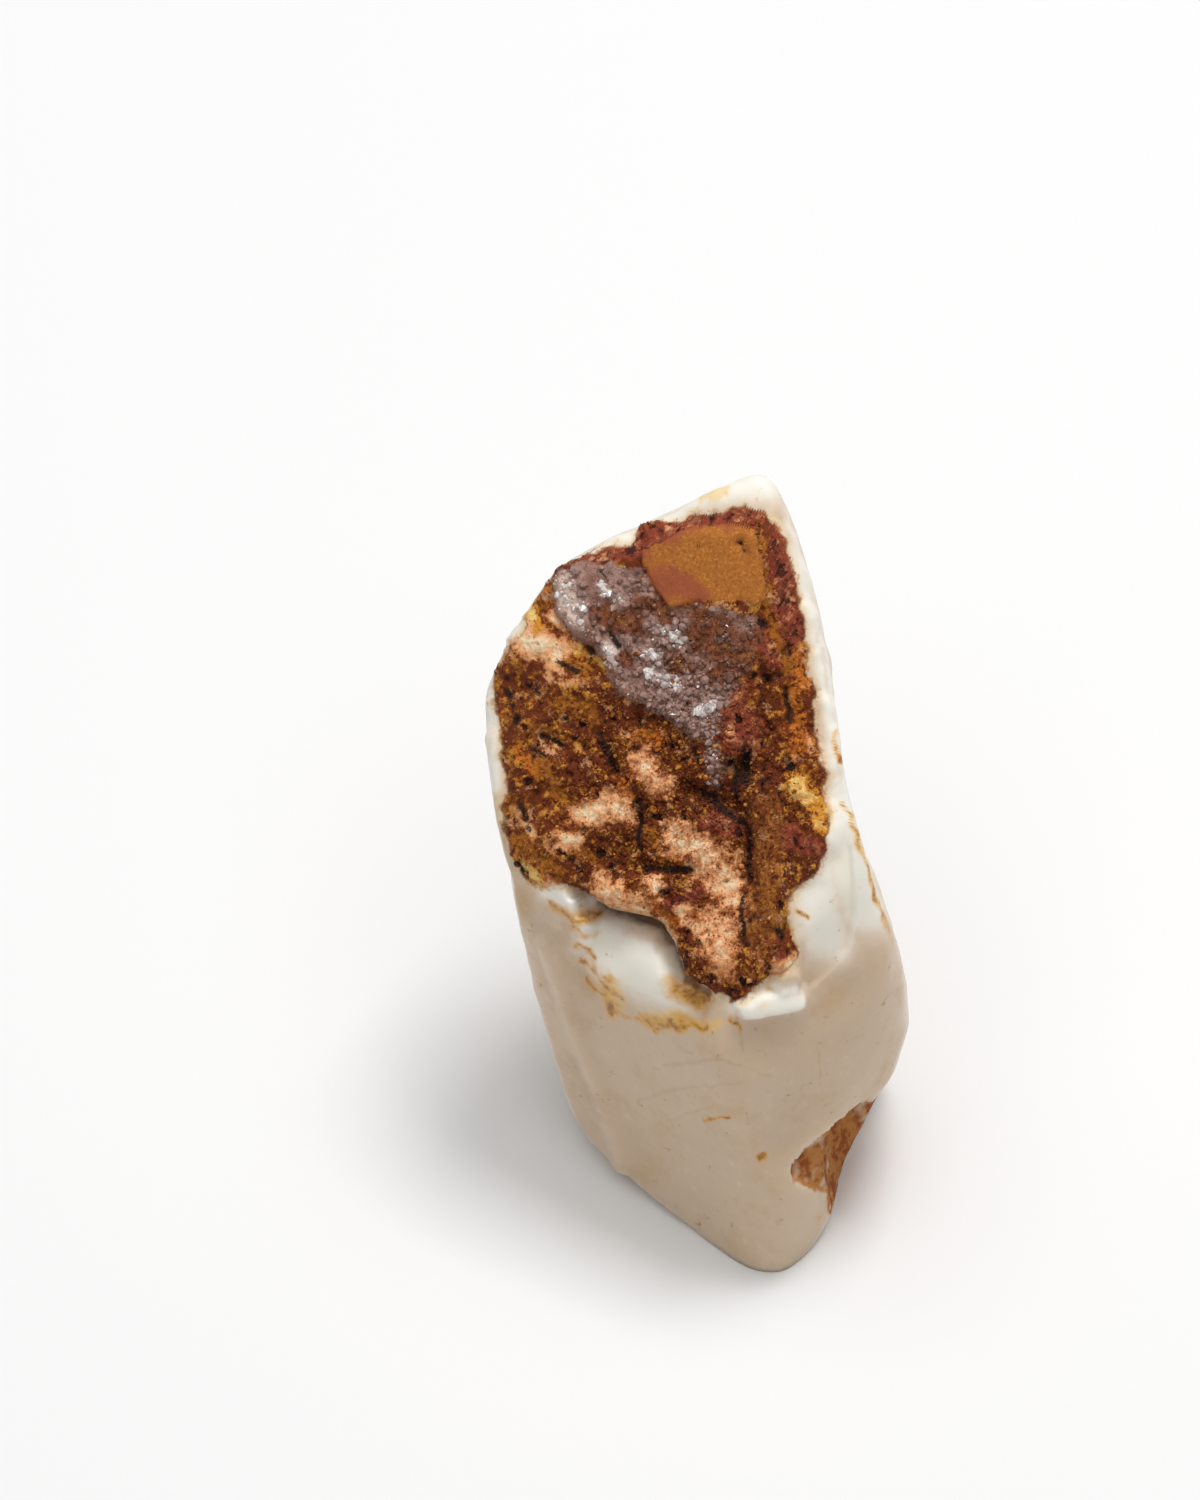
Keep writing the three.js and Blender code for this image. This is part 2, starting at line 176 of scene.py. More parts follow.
# Strokes of colour in the sight plane: line from, line to, half width.
RED = [  # dark red-brown ironstone
    (-8.1, 26.1, -4.3, 26.7, 0.9), (-4.3, 27.3, 0.1, 28.7, 1), (0.1, 29.2, 4.6, 29.1, 0.7),
    (6, 27.3, 7, 19.8, 1), (2.8, 15.4, 3.4, 12.6, 1.6), (-3.2, 24.4, 0.1, 23.2, 1.2), (6.1, -4, 7.4, -4, 0.6),
    (1.2, 6.4, 2.6, 5.6, 0.9), (-7.5, 24.9, -6.5, 25.8, 0.7), (-1.9, 0.2, 0.4, 1.2, 0.6),
    (7, 5, 8.6, 4.2, 0.9), (4.8, 20, 6, 18.4, 0.8),
]
GOLD = [  # golden limonite
    (5, 26.9, 5.2, 23.2, 0.5), (5.2, 23.2, 6.1, 20.4, 0.55), (6.1, 20.4, 6.9, 17.6, 0.7),
    (8.1, 10.2, 8.6, 9.2, 0.8), (-10.3, 15.3, -7.3, 13.7, 0.8), (-11.8, 10.8, -10.2, 7.8, 1.2),
    (-13.3, 4.4, -10.3, 2.4, 1), (-9.3, 18.4, -8.4, 16.8, 0.7), (-4.3, 28.5, -0.6, 29.8, 0.4),
    (-11.2, 23.4, -12.4, 21.1, 0.7), (-6.5, 0.9, -3.6, -0.1, 0.5), (0.5, -3.6, 1.3, -4.3, 0.5),
    (5.2, 1, 6.2, -1.6, 0.7), (-5.8, 12.3, -3.6, 12.7, 0.6), (-12.2, 13.4, -10.8, 13, 0.8),
    (-9.4, 4, -7.6, 3.4, 0.8), (-3.6, 5.2, -2.8, 3.4, 0.6), (2, 18, 3.4, 17.4, 0.4),
]
ORANGE = [  # bright rust
    (7, 15.8, 7.6, 12, 1.1), (-4.6, 12.6, -3, 12.2, 0.8), (0.1, -1.2, 0.4, -2, 0.7),
    (-13.4, 11.6, -12, 9.4, 0.6), (-11.6, 23.6, -10.4, 22.6, 0.7), (7.6, 18.6, 8, 16.4, 0.6),
    (-5.6, 9, -5, 7.8, 0.5), (-2, 3.6, -0.8, 2.9, 0.5), (-3.2, -0.2, -1.6, -1.4, 0.5),
]
YELLOW = [  # yellow-stained opal
    (7.5, 9.2, 9.1, 7.4, 1), (8.8, 6.6, 9.4, 5.6, 0.4), (-12.8, 22.2, -11.9, 20.6, 0.6),
    (-8.6, 18.9, -7.2, 17.9, 0.45), (0.4, 30.4, 2.4, 31.2, 0.3), (-12.9, 3.2, -12, 1.6, 0.5),
    (-6.4, -5.6, -6, -7.8, 0.7), (-3.9, -8.5, 1.4, -9.1, 0.55), (-2.2, -6.4, -0.4, -7.2, 0.8),
]
DARK = [  # clefts and holes where no light comes back
    *(hole[:4] + hole[6:] for hole in HOLES),
    (-14.5, 16.1, -13.3, 13.8, 0.3), (-13.3, 7.8, -12.6, 5.5, 0.3), (-10.3, 4, -9.2, 3.3, 0.3),
    (-4.3, 7.8, -4.3, 4.4, 0.35), (0.5, 8.5, 1.1, 7.8, 0.5), (3.5, 11.1, 3.5, 9.3, 0.75),
    (1.3, 7.4, 3.5, 6.1, 0.4), (3.8, 5.9, 3.9, 1.8, 0.4), (-4, 2.7, -0.6, 2.5, 0.35),
    (6.1, -1.9, 6.2, -2.2, 0.45), (-8.1, 19.1, -8, 19, 0.5), (0.1, 26.9, 0.3, 26.7, 0.25),
    (-13.3, 2.5, -13.2, 0.3, 0.5), (2.8, 10, 3, 8.5, 0.4), (5.7, 27, 5.9, 26.6, 0.4),
    (-10.4, 18.2, -9, 17.4, 0.3), (3.4, 0.4, 3.5, -2.8, 0.25), (-12.8, 16.6, -11.6, 15.6, 0.3),
]
PALE = [  # sugary pinkish white opal that stands out of the crust
    (-3.9, 10.2, -3.1, 9.2, 1.2), (-8.6, 6.8, -5.4, 7, 0.95), (-9.9, 5.1, -9.1, 4.8, 0.8),
    (-1.6, 5.4, 0.4, 4.2, 1.3), (1.2, 3.4, 2.4, 0.2, 1.4), (1.2, -1.4, 1.6, -3.8, 1.35),
    (-7.3, 1.6, -6.9, 0.6, 0.75), (-5.8, 0.9, -4.2, 0.5, 0.9), (-3, 1.7, -2.8, 1.1, 0.6),
    (-13.2, 5.6, -12.6, 5.2, 0.6), (-11.3, 1.2, -10.6, 0.6, 0.7), (-12.9, 19.8, -10.5, 19, 1.25),
    (-10.9, 21.6, -10.2, 21.2, 0.5), (8.3, 12.9, 8.6, 11.9, 0.4), (-1.2, -0.4, -0.2, -1.9, 0.6),
    (5.6, -4.6, 6.8, -4.4, 0.5), (-6.6, 0.2, -3.6, -0.5, 0.5), (-0.6, 3.2, 1, 2.6, 0.5),
    (-2.6, -1.2, -1.8, -2.6, 0.45),
]
DIRT = [  # brown sugar among the lilac quartz
    (-7, 21.6, -4.6, 21, 0.9), (-4.2, 22.4, -2.4, 21.6, 0.7), (0.3, 21.2, 2.2, 20.8, 0.7),
    (0.2, 19.9, 3.8, 18.6, 1.1), (4.6, 20, 5.8, 18.6, 0.8), (-5.4, 18.4, -5.2, 18.3, 0.6),
    (-1.8, 18.4, -0.8, 18, 0.6), (1.5, 17.6, 3.6, 17.2, 0.7),
]
GLINT = [  # clean quartz, with painted glints where it catches the light
    (-10.1, 24, -9, 21.6, 1.1), (-6.7, 19.4, -5.9, 18.1, 0.6), (-2.6, 20.6, -1.2, 19.8, 0.5),
    (2.2, 19.9, 2.8, 19.3, 0.4), (2.2, 17.2, 2.6, 16.6, 0.4), (-3.2, 17.4, -1.6, 16.4, 0.5),
    (0.2, 14.6, 1.4, 15.2, 0.4), (-7.2, 23.8, -5.6, 22.9, 0.4), (-3.6, 18.9, -2.2, 18.3, 0.4),
]
STAIN = [  # iron stains in the opal
    (-6.9, -5.6, -6.1, -7.8, 0.75), (-4.2, -8.5, -3, -8.9, 0.6), (-3, -8.9, 0.6, -9.2, 0.5),
    (-2.2, -6.4, 0.2, -7.4, 0.9), (-0.8, -5.9, 0.4, -6.9, 0.6), (-11, -0.4, -8.6, -1, 0.6),
    (-9.3, -1.7, -8, -2.4, 0.35), (-8.9, -3.2, -7.9, -4, 0.35), (-8.5, -4.4, -7.3, -5.3, 0.35),
    (-8.2, -5.8, -7, -6.5, 0.4), (0.4, -16.2, 2.2, -15.8, 0.25), (4.4, -19.1, 5.1, -19, 0.25),
    (9, -23.6, 9.2, -23.8, 0.35), (12.3, 4, 15.5, -5.1, 0.3), (11, 7.8, 12.3, 4, 0.2),
    (2.6, -8.6, 3.2, -9.4, 0.2), (7.6, -0.4, 8.2, -0.8, 0.3), (6.8, -1.6, 7, -3, 0.3),
    (10.4, 12.6, 10.7, 10.6, 0.25), (-5.8, -8, -5, -8.6, 0.35),
]
SHADOW_UNDER_LIP = [  # painted shadow in the groove under the lip, partly brown staining
    (-8, 0, -5.2, -1.2, 0.55), (-5.2, -1.2, -3.4, -1.5, 0.55), (-3.4, -1.5, -2.2, -3.2, 0.55),
    (-2.2, -3.2, -1.3, -5.6, 0.5), (-1.3, -5.6, 0.4, -6.6, 0.45),
]
FAINT = [  # faint brownish clouds and threads in the opal
    (-10.2, -1.9, -8.1, -6.1, 1.1), (-9.3, -11.7, -7.3, -15.6, 0.9), (-15.3, 15.3, -15.5, 10.8, 0.3),
    (-14.5, 4.8, -13.3, -0.8, 0.6), (2.9, -7.9, 3.3, -10.9, 0.2), (9.2, -11.3, 9.2, -13.7, 0.2),
    (-4.6, -14.8, -0.6, -13.7, 0.2), (-0.6, -13.7, 3.3, -13.3, 0.2), (-3.2, -12.3, 1.6, -11.5, 0.25),
    (1.6, -11.5, 5.4, -12.8, 0.2), (8.5, 25.8, 9, 19.8, 0.3), (9.3, 19.1, 10.3, 13.8, 0.3),
    (10.5, 13, 10.8, 8.5, 0.3), (3.5, -22.3, 3.8, -22.3, 0.15), (6.9, -26.2, 7, -26.2, 0.15),
    (-12.2, -2.4, -10.6, -7.6, 0.5), (7.9, -3, 7.4, -6.2, 0.5), (-6, -2.2, -2.6, -3.2, 0.5),
    (-9.6, -7.4, -8.2, -9, 0.6), (-2.4, -16.4, 1, -15.2, 0.2),
]
TAN = [  # broad tan clouds in the opal
    (-14.6, 5, -13.2, -1, 0.8), (-9.4, -1.6, -8, -6.4, 1),
]
WHITE_AND_LIT = [  # clean milky opal where the rest is beige, whitened as painted light on the lit top, shelf, ledges and rims
    (-12.6, 24.4, -5.2, 28.4, 1.5), (-5, 28.9, 1, 31, 1.5), (1, 31.4, 6.4, 32.4, 2.4),
    (7.8, 29.6, 9.4, 20.4, 1.4), (9.6, 19.8, 10.6, 12, 1.2), (10.8, 10.4, 10.8, 5.4, 1.2),
    (-7.2, -2.4, -1.6, -6.2, 2.4), (8.6, 2.4, 9.8, -2.6, 2.2), (3.2, -7.4, 7, -6.6, 1.1),
    (-11.4, 1, -8.4, -0.4, 0.8), (11, 4.6, 12.6, -0.4, 2.4), (-14.6, 19.6, -13.4, 22, 0.9),
    (-15.9, 16, -15.4, 9, 0.9),
]
BACK_SKIN = np.array([0.62, 0.66, -0.42])  # where a thin rusty skin is left on the back
STROKES = {
    "red": RED, "gold": GOLD, "orange": ORANGE, "yellow": YELLOW, "dark": DARK, "pale": PALE, "dirt": DIRT,
    "glint": GLINT, "stain": STAIN, "under": SHADOW_UNDER_LIP, "faint": FAINT, "tan": TAN, "white": WHITE_AND_LIT,
}
RAGGED = ("red", "gold", "orange", "pale", "dirt", "stain", "yellow")
ZONES = ("crust", "bleed", "ochre", "druse", "rust", "skin", "hidden", "grain", "hill", *STROKES)


def linear(hex_colour):
    """A colour's linear red, green and blue from its sRGB hex value."""
    c = np.array([int(hex_colour[i:i + 2], 16) for i in (1, 3, 5)]) / 255
    return tuple(np.where(c <= 0.04045, c / 12.92, ((c + 0.055) / 1.055) ** 2.4))


# What a user would change


def colour(name, description, hex_colour):
    return bpy.props.FloatVectorProperty(
        name=name, description=description, subtype="COLOR", size=3, min=0, max=1, default=linear(hex_colour))


def length(name, description, mm):
    return bpy.props.FloatProperty(
        name=name, description=description, unit="LENGTH", subtype="DISTANCE", default=mm * MM, min=0)


def count(name, description, default, most, least=1):
    return bpy.props.IntProperty(name=name, description=description, default=default, min=least, max=most)


def power(name, description, watts):
    return bpy.props.FloatProperty(name=name, description=description, unit="POWER", default=watts, min=0)


class OpalBlockSettings(bpy.types.PropertyGroup):
    """Sizes and colours of the opal block and its crust."""

    fineness: count("Fineness", "Points along a side of the square folded over the stone", 313, 315, 31)
    crumb_size: length("Crumb size", "Width of the larger crumbs of ironstone", 0.62)
    crumb_height: length("Crumb height", "How far the larger crumbs stand up", 0.2)
    # Clean opal, also whiter as painted light on the faces that the light falls on.
    milk_white: colour("Milk white", "Clean opal in the hollow, on the ledges and along the top", "#fcf2e5")
    # The beige also stands for painted shade on the faces turned from the light.
    bone_beige: colour("Bone beige", "Waxy opal of the rest of the block", "#dbc3a7")
    ironstone: colour("Ironstone", "Main brown of the crust", "#722e07")
    ironstone_red: colour("Red ironstone", "Dark red-brown rim of the crust", "#98422a")
    # Gold of limonite, laid on the crumb tops as a painted highlight.
    limonite_gold: colour("Golden limonite", "Yellow-brown crumbs", "#ac640f")
    ochre_earth: colour("Ochre", "Powdery slab and rib", "#b26a24")
    # Painted shade: the dark that stands for the shadow in holes, clefts and the gaps between crumbs.
    cleft_dark: colour("Clefts", "Holes and clefts of the crust", "#1e0b03")
    pale_knob: colour("Pale knobs", "Pinkish opal knobs in the crust", "#f8b880")
    lilac_quartz: colour("Lilac quartz", "Ground under the quartz druse", "#b08a7c")


class OpalGrainSettings(bpy.types.PropertyGroup):
    """Sizes and numbers of the loose grains on the crust."""

    crumbs: count("Crumbs", "Number of ironstone crumbs on the crust", 2600, 9000)
    crumb_least: length("Smallest crumb", "Width of the smallest crumbs", 0.2)
    crumb_most: length("Largest crumb", "Width of the largest crumbs", 0.6)
    grains: count("Grains", "Number of fine limonite grains on the crust", 22000, 24000)
    grain_least: length("Smallest grain", "Width of the smallest grains", 0.1)
    grain_most: length("Largest grain", "Width of the largest grains", 0.28)
    crystals: count("Crystals", "Number of quartz points in the druse", 1900, 8000)
    crystal_least: length("Smallest crystal", "Length of the smallest quartz points", 0.25)
    crystal_most: length("Largest crystal", "Length of the largest quartz points", 0.9)
    # Quartz colour, put on the points where they glint as a painted glint.
    quartz_clear: colour("Quartz", "Clear to milky quartz points", "#f4ebe6")
    seed: bpy.props.IntProperty(name="Seed", description="Start of the random places", default=7, min=0)


class OpalStageSettings(bpy.types.PropertyGroup):
    """Floor and light of the stage."""

    floor_colour: colour("Floor", "Pale matt floor", "#f4f4f4")
    key_power: power("Key light", "Power of the light from behind on the right", 3.5)
    top_power: power("Top light", "Power of the wide light overhead", 8.2)
    fill: bpy.props.FloatProperty(
        name="Room light", description="Strength of the even light from all round", default=0.2, min=0)


# Shapes as whole arrays


def ease(x, low, high):
    """0 below low, 1 above high, and an S-curve between."""
    t = np.clip((x - low) / (high - low), 0, 1)
    return t * t * (3 - 2 * t)


def unit(v):
    """Each row of an array made 1 long."""
    return v / np.linalg.norm(v, axis=1, keepdims=True)


def scatter(i, j, k):
    """A fixed number from 0 to 1 for each corner of a whole-number lattice."""
    s = np.sin(i * 127.1 + j * 311.7 + k * 74.7) * 43758.5453
    return s - np.floor(s)


def lumpiness(p, size):
    """Smooth unevenness from -1 to 1: lattice numbers `size` apart, blended between corners by S-curves."""
    cell = np.floor(p / size)
    part = p / size - cell
    part = part * part * (3 - 2 * part)
    total = np.zeros(len(p))
    for step in product((0, 1), repeat=3):
        share = np.prod(np.where(np.array(step, bool), part, 1 - part), axis=1)
        total += share * scatter(*(cell + step).T)
    return 2 * total - 1


def swell(p, rows):
    """Unevenness of several sizes added up, each as high as its row says."""
    return sum(height * lumpiness(p, size) for size, height in rows)


def broken(p, size, seed):
    """Broken stone: one grain middle is scattered in each cube of a lattice. Gives the way from the nearest
    middle in grain sizes, and a fixed number for each grain."""
    cell = np.floor(p / size)
    near = np.full(len(p), 9.0)
    way = np.zeros_like(p)
    own = np.zeros(len(p))
    for step in product((-1, 0, 1), repeat=3):
        i, j, k = (cell + step).T
        shift = np.stack([scatter(i + seed, j, k), scatter(i, j + seed, k), scatter(i, j, k + seed)], 1)
        apart = p / size - (cell + step + shift)
        far = np.linalg.norm(apart, axis=1)
        closer = far < near
        near = np.minimum(near, far)
        way = np.where(closer[:, None], apart, way)
        own = np.where(closer, scatter(i + 2 * seed, j + 5, k), own)
    return way, own


def line_distance(mark, lines):
    """Distance of each mark from each line's nearest point, marks down and lines across."""
    start, end = lines[None, :, 0:2], lines[None, :, 2:4]
    run = end - start
    along = ((mark[:, None] - start) * run).sum(2) / np.maximum((run * run).sum(2), 1e-9)
    return np.linalg.norm(mark[:, None] - start - np.clip(along, 0, 1)[..., None] * run, axis=2)


def outside_by(mark, outline):
    """How far each mark lies outside an outline, negative inside: the nearest side, signed by a count of
    the sides that a line to the right crosses."""
    a = np.array(outline)
    b = np.roll(a, -1, axis=0)
    nearest = line_distance(mark, np.hstack([a, b])).min(1)
    x, y = mark[:, :1], mark[:, 1:]
    spans = (a[:, 1] > y) != (b[:, 1] > y)
    rise = np.where(b[:, 1] == a[:, 1], 1, b[:, 1] - a[:, 1])
    crossed = spans & (x < a[:, 0] + (y - a[:, 1]) / rise * (b[:, 0] - a[:, 0]))
    return np.where(crossed.sum(1) % 2, -nearest, nearest)


def inside(mark, outline, low, high):
    """0 where a mark lies less than `low` inside an outline, 1 from `high` on, and an S-curve between."""
    return ease(-outside_by(mark, outline), low, high)


def bells(mark, lines):
    """Bell curves across lines, of each line's half width and height, marks down and lines across."""
    lines = np.array(lines)
    return lines[:, 5] * np.exp(-(line_distance(mark, lines) / lines[:, 4]) ** 2)


def dips(mark, lines, outline):
    """Hollows that start at a sharp edge: bell-shaped troughs along lines, joined by the root of the sum of
    their squares, and cut off where they leave the outline."""
    return inside(mark, outline, *SHARP_EDGE) * np.sqrt((bells(mark, lines) ** 2).sum(1))


def strokes(mark, lines):
    """1 on the middle of the nearest stroke, falling off in a bell curve of its half width."""
    lines = np.array(lines)
    return np.exp(-(line_distance(mark, lines) / lines[:, 4]).min(1) ** 2)


def folded_square(n):
    """Even directions all round from a square grid: the square's middle diamond covers the upper half of
    a ball and its corners fold under to cover the lower half, with every cell of the same area. Gives the
    directions and, for each grid point, the number of the point that it is joined to along the fold."""
    u = np.linspace(-1, 1, n)
    p, q = np.meshgrid(u, u, indexing="ij")
    d = 1 - np.abs(p) - np.abs(q)
    r = 1 - np.abs(d)
    turn = np.pi / 4 * ((np.abs(q) - np.abs(p)) / np.where(r == 0, 1, r) + 1)
    flat = r * np.sqrt(np.maximum(2 - r * r, 0))
    across, along = flat * np.cos(turn) * np.sign(p), flat * np.sin(turn) * np.sign(q)
    ball = np.stack([across, along, np.sign(d) * (1 - r * r)], 2)
    number = np.arange(n * n).reshape(n, n)
    for side in (number[0], number[-1], number[:, 0], number[:, -1]):
        side[:] = np.minimum(side, side[::-1])
    number[[0, 0, -1, -1], [0, -1, 0, -1]] = 0
    return ball.reshape(-1, 3), number


def facing(azimuth, tilt):
    """Directions from azimuths and upward tilts in degrees."""
    a, t = np.radians(azimuth), np.radians(tilt)
    return np.stack([np.cos(t) * np.cos(a), np.cos(t) * np.sin(a), np.sin(t)], -1)


def block(direction):
    """The broken block along each direction from MIDDLE: the facets' planes are joined by a high power, so
    their edges are a little rounded, and each ball of SCOOPS takes its bite. Gives radius and normal."""
    normals = facing(FACETS[:, 0], FACETS[:, 1])
    share = np.maximum(direction @ normals.T / FACETS[:, 2], 0)
    radius = (share ** EDGE_CRISPNESS).sum(1) ** (-1 / EDGE_CRISPNESS)
    normal = unit((share ** (EDGE_CRISPNESS - 1) / FACETS[:, 2]) @ normals)
    for x, y, z, ball, crisp in SCOOPS:
        along = direction @ (x, y, z)
        reach = along ** 2 - (x * x + y * y + z * z) + ball ** 2
        entry = np.where((along > 0) & (reach > 0), along - np.sqrt(np.maximum(reach, 0)), 1e3)
        bitten = radius * (1 + (radius / entry) ** crisp) ** (-1 / crisp)
        radius = radius + (bitten - radius) * ease(reach, 0, RIM_SLOPE * ball ** 2)
    return radius, normal


def in_sight(p):
    """Where each point shows in the plane of sight: mm to the right and mm upwards."""
    q = p - EYE
    depth = q[:, 1] * np.cos(SIGHT) - q[:, 2] * np.sin(SIGHT)
    rise = q[:, 1] * np.sin(SIGHT) + q[:, 2] * np.cos(SIGHT)
    return SIGHT_MARK + SIGHT_RANGE * np.stack([q[:, 0], rise], 1) / depth[:, None]


def wobble(p, mark, size, amount):
    """Marks pushed about by smooth unevenness, so that an outline drawn with them runs raggedly."""
    return mark + amount * np.stack([lumpiness(p, size), lumpiness(p + 41.3, size)], 1)


def stone_surface(fineness, crumb_size, crumb_height):
    """The whole stone: directions from the folded square, drawn out along the stone and moved towards the
    crust, are pushed out to the block. The relief of the crust, plate, ledges, crumbs, quartz facets and slow
    swell is added along the block's normal, the hollow is cut back to its shelf, and the flat spot is where
    the height stops at 0. Gives points, grid numbers and the zones' strengths."""
    ball, number = folded_square(fineness)
    direction = unit(ball + STRETCH * (ball @ LONG_AXIS)[:, None] * LONG_AXIS + TOWARDS_CRUST)
    radius, normal = block(direction)
    p = MIDDLE + direction * radius[:, None]

    seen = ease((normal * unit(EYE - p)).sum(1), 0.02, 0.3)
    mark = in_sight(p)
    ragged = wobble(p, wobble(p, mark, 1.7, 0.45), 0.6, 0.25)
    firm = wobble(p, mark, 0.8, 0.14)
    zones = {}
    for name, lines in STROKES.items():
        zones[name] = seen * strokes(ragged if name in RAGGED else firm, lines)
    within = -outside_by(ragged, CRUST)
    crust = seen * ease(within, -0.6, 0.6)
    plate = seen * inside(firm, PLATE, -0.22, 0.18)
    slab = seen * inside(firm, OCHRE, -0.16, 0.12)
    rib = seen * inside(ragged, RIB, -0.3, 0.3)
    druse = seen * inside(wobble(p, ragged, 3.1, 0.8), DRUSE, -0.9, 0.8) * (1 - slab)
    rough = seen * ease(within, -0.5, 1.0)
    for area, smoothness in ((slab, 0.9), (druse, 0.75), (rib, 0.5), (zones["pale"], 0.4)):
        rough *= 1 - smoothness * area

    lump = bells(mark, LUMPS).sum(1)
    pit = bells(firm, PITS).max(1) + dips(firm, NOTCH_DIPS, NOTCH) + dips(mark, CHIP_DIPS, CHIP)
    height = EDGE_RISE * seen * ease(within, -0.2, 1.6) + PLATE_RISE * plate + SLAB_RISE * slab
    height += seen * (lump - pit)
    hills = swell(p, HILLS)
    height += rough * HILL_RISE * hills

    # crumbs as domes, some of which fell out and left a hole
    way, own = broken(p, crumb_size, 3)
    fine_way, _ = broken(p, FINE_CRUMB * crumb_size, 11)
    lost = ease(-own, -0.06, -0.04)
    dome = 0.5 - ROUNDNESS * (way * way).sum(1) - LOSS * lost
    fine_dome = 0.5 - ROUNDNESS * (fine_way * fine_way).sum(1)
    height += rough * crumb_height * (dome + 0.6 * fine_dome + 0.7 * lumpiness(p, 0.35))

    # facets of quartz, each tilted its own way
    way, quartz_own = broken(p, FACET, 5)
    tilt = np.stack([scatter(quartz_own * 97, k, 1.0) - 0.5 for k in (1.0, 2.0, 3.0)], 1)
    height += druse * (0.55 * (way * tilt).sum(1) + 0.12 * lumpiness(p, 1.6))
    height += slab * swell(p, SLAB_SWELL)

    step_mark = wobble(p, mark, 1.2, 0.2)
    for rise, outline in LEDGES:
        height += seen * rise * inside(step_mark, outline, -0.1, 0.4)
    margin = seen * ease(within, -2.6, -0.4) * ease(mark[:, 1], -1.0, 4.0)
    height += (1 - crust) * (swell(p, OPAL_SWELL) + margin * swell(p, MARGIN_SWELL))

    # the hollow goes back to its shelf, and breaks off in flaky beds at its left
    bed = np.floor(firm[:, 1] / BED + 0.5 * lumpiness(p, 2.0))
    flaky = firm[:, 0] + 0.15 * mark[:, 1] + 2.2 * (scatter(bed, 3.0, 1.0) - 0.5)
    hollow = seen * inside(firm, HOLLOW, *SHARP_EDGE) * ease(flaky, *FLAKES) * ease(-firm[:, 0], *SHELF_END)
    shelf = facing(*SHELF[:2])
    over = (p - MIDDLE) @ shelf - SHELF[2]
    hollow *= 0.5 * (over + np.sqrt(over ** 2 + SHELF_SOFTNESS ** 2))

    # The holes left by lost crumbs get painted shade as well.
    zones["dark"] = np.maximum(zones["dark"], 0.6 * rough * lost)
    zones["white"] = np.maximum(zones["white"], 0.5 - 0.5 * seen)
    zones["faint"] = np.maximum(zones["faint"], 0.8 * ease(lumpiness(p, 6.0) - seen, 0.45, 0.8))
    zones.update({
        "crust": crust,
        "bleed": seen * ease(within, -1.2, 0.2),
        "ochre": np.maximum(slab, 0.5 * rib),
        "druse": druse,
        "rust": seen * inside(firm, NOTCH, -0.4, 0.5),
        "skin": ease(direction @ BACK_SKIN + swell(p, SKIN_SWELL), 0.72, 0.98),
        "hidden": 1 - seen,
        "grain": np.where(rough > 0.3, own, 0.5),
        # Height of the crumbs and hills, for the painted highlight on the tops and the painted shade between.
        "hill": np.clip(0.5 + 0.16 * hills + 0.45 * dome + 0.4 * fine_dome, 0, 1),
    })
    p = p + normal * height[:, None] - shelf * hollow[:, None]
    p[:, 2] = np.maximum(p[:, 2], 0)
    return p, number, zones


def grid_faces(number):
    """Four-sided faces between the points of a joined grid, wound to face outwards."""
    return np.stack([number[:-1, :-1], number[1:, :-1], number[1:, 1:], number[:-1, 1:]], 2).reshape(-1, 4)


def put_in_scene(name, data):
    """Makes an object of a mesh, a lamp or a camera."""
    thing = bpy.data.objects.new(name, data)
    bpy.context.scene.collection.objects.link(thing)
    return thing


def new_piece(name, points, faces, zones, material, smooth):
    """Makes a piece at the origin from points in mm, faces and per-point strengths."""
    used, order = np.unique(faces, return_inverse=True)
    faces = order.reshape(faces.shape)
    mesh = bpy.data.meshes.new(name)
    mesh.from_pydata((points[used] * MM).tolist(), [], faces.tolist())
    for zone, strength in zones.items():
        layer = mesh.attributes.new(zone, "FLOAT", "POINT")
        layer.data.foreach_set("value", np.asarray(strength, np.float32)[used])
    mesh.polygons.foreach_set("use_smooth", np.full(len(mesh.polygons), smooth))
    mesh.materials.append(material)
    mesh.validate()
    return put_in_scene(name, mesh)


def random_turns(rng, count):
    """A random turn for each of `count` things, as matrices made from evenly scattered quaternions."""
    w, x, y, z = unit(rng.normal(size=(count, 4))).T
    return np.stack([
        1 - 2 * (y * y + z * z), 2 * (x * y - z * w), 2 * (x * z + y * w),
        2 * (x * y + z * w), 1 - 2 * (x * x + z * z), 2 * (y * z - x * w),
        2 * (x * z - y * w), 2 * (y * z + x * w), 1 - 2 * (x * x + y * y)], 1).reshape(-1, 3, 3)


def crumb_shape():
    """Corners and faces of a 20-sided ball, the start of a crumb."""
    g = (1 + 5 ** 0.5) / 2
    upright = np.array([(0, s, t * g) for s, t in product((-1, 1), repeat=2)])
    corners = np.vstack([np.roll(upright, turn, axis=1) for turn in (0, 2, 1)])
    return unit(corners), hull_faces(corners, 2.1)


def grain_shape():
    """Corners and faces of an 8-sided ball, the start of a fine grain."""
    corners = np.vstack([np.eye(3), -np.eye(3)])
    return corners, hull_faces(corners, 1.5)


def hull_faces(corners, side):
    """Outward triangles between corners that are no further apart than `side`."""
    triples = np.array([t for t in product(range(len(corners)), repeat=3) if t[0] < t[1] < t[2]])
    a, b, c = (corners[triples[:, k]] for k in range(3))
    faces = triples[np.max([np.linalg.norm(d, axis=1) for d in (a - b, b - c, c - a)], 0) < side]
    a, b, c = (corners[faces[:, k]] for k in range(3))
    inward = (np.cross(b - a, c - a) * a).sum(1) < 0
    faces[inward] = faces[inward][:, ::-1]
    return faces


